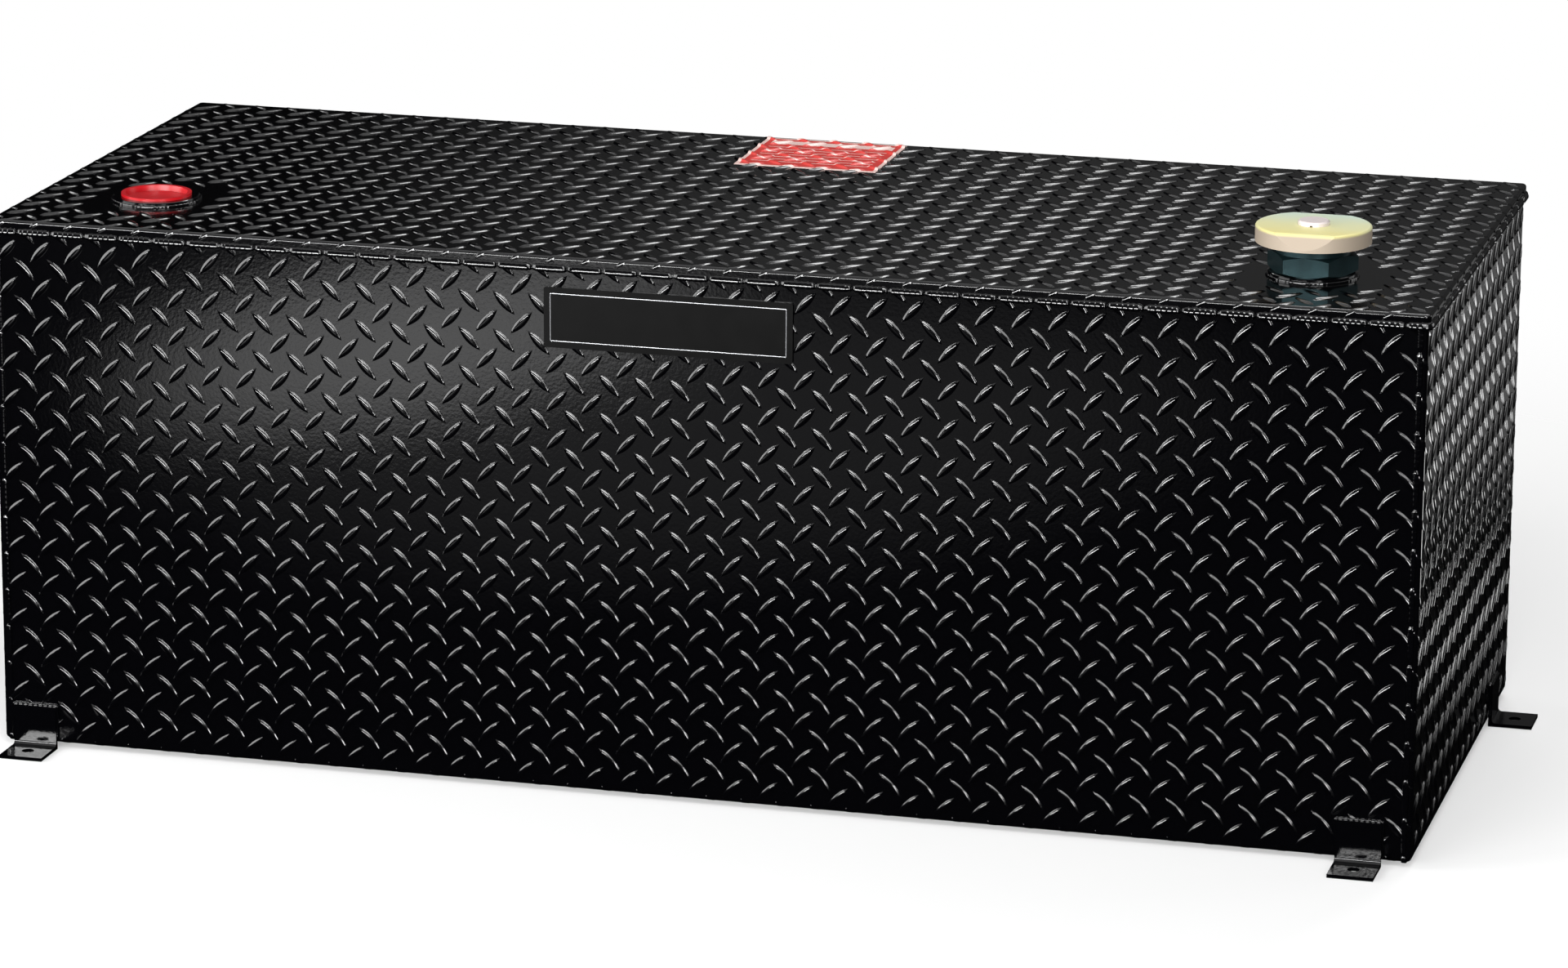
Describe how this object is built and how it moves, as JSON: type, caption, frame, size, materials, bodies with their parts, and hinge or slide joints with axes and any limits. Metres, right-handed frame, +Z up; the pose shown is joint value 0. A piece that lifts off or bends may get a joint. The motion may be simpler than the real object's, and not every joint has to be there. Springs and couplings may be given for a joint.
{
  "type": "truck bed fuel transfer tank",
  "caption": "Welded tread plate fuel tank for a truck bed, with a bayonet fill cap, a plugged pump bung, inner baffles and hold-down brackets.",
  "frame": {"origin": "on the floor under the brackets' feet, in the middle of the outer box", "axes": "+X along the tank to the fill cap's end, -Y to the front face, +Z up"},
  "size_m": [1.2954, 0.548, 0.5085],
  "materials": {
    "powder_coat": "gloss black powder coat",
    "mill_steel": "bare mill finish",
    "dark_zinc": "dark zinc plate",
    "yellow_zinc": "yellow chromate zinc",
    "clear_zinc": "clear zinc",
    "nitrile_rubber": "moulded",
    "red_plastic": "moulded",
    "black_enamel": "gloss enamel",
    "red_vinyl": "printed film"
  },
  "bodies": {
    "tank": {"baffle_left": "mill_steel", "baffle_right": "mill_steel", "bayonet_ring": "yellow_zinc", "body_wrap": "powder_coat", "bracket_front_left": "powder_coat", "bracket_front_right": "powder_coat", "bracket_rear_left": "powder_coat", "bracket_rear_right": "powder_coat", "bracket_welds": "powder_coat", "caution_label": "red_vinyl", "fill_adapter": "dark_zinc", "fill_bung": "powder_coat", "fill_bung_weld": "powder_coat", "left_end": "powder_coat", "left_seam_weld": "powder_coat", "name_plate": "black_enamel", "pump_bung": "powder_coat", "pump_bung_weld": "powder_coat", "right_end": "powder_coat", "right_seam_weld": "powder_coat", "top_plate": "powder_coat", "top_seam_weld": "powder_coat"},
    "cap_core": {"cap_rivet": "clear_zinc", "gasket": "nitrile_rubber", "seal_disc": "clear_zinc", "spring_washer": "clear_zinc"},
    "cap_cover": {"cap_shell": "yellow_zinc", "cap_sleeve": "clear_zinc", "ear_plate": "yellow_zinc", "vent_button": "clear_zinc"},
    "plug": {"bung_plug": "red_plastic"}
  },
  "joints": [
    {"name": "cap_lift", "type": "slide", "parent": "tank", "child": "cap_core", "axis": [0, 0, 1], "range_m": [0, 0.1]},
    {"name": "cap_turn", "type": "hinge", "parent": "cap_core", "child": "cap_cover", "pos_m": [0.4956, -0.12395, 0.5], "axis": [0, 0, 1], "range_deg": [-65, 0]},
    {"name": "plug_lift", "type": "slide", "parent": "tank", "child": "plug", "axis": [0, 0, 1], "range_m": [0, 0.08]}
  ]
}
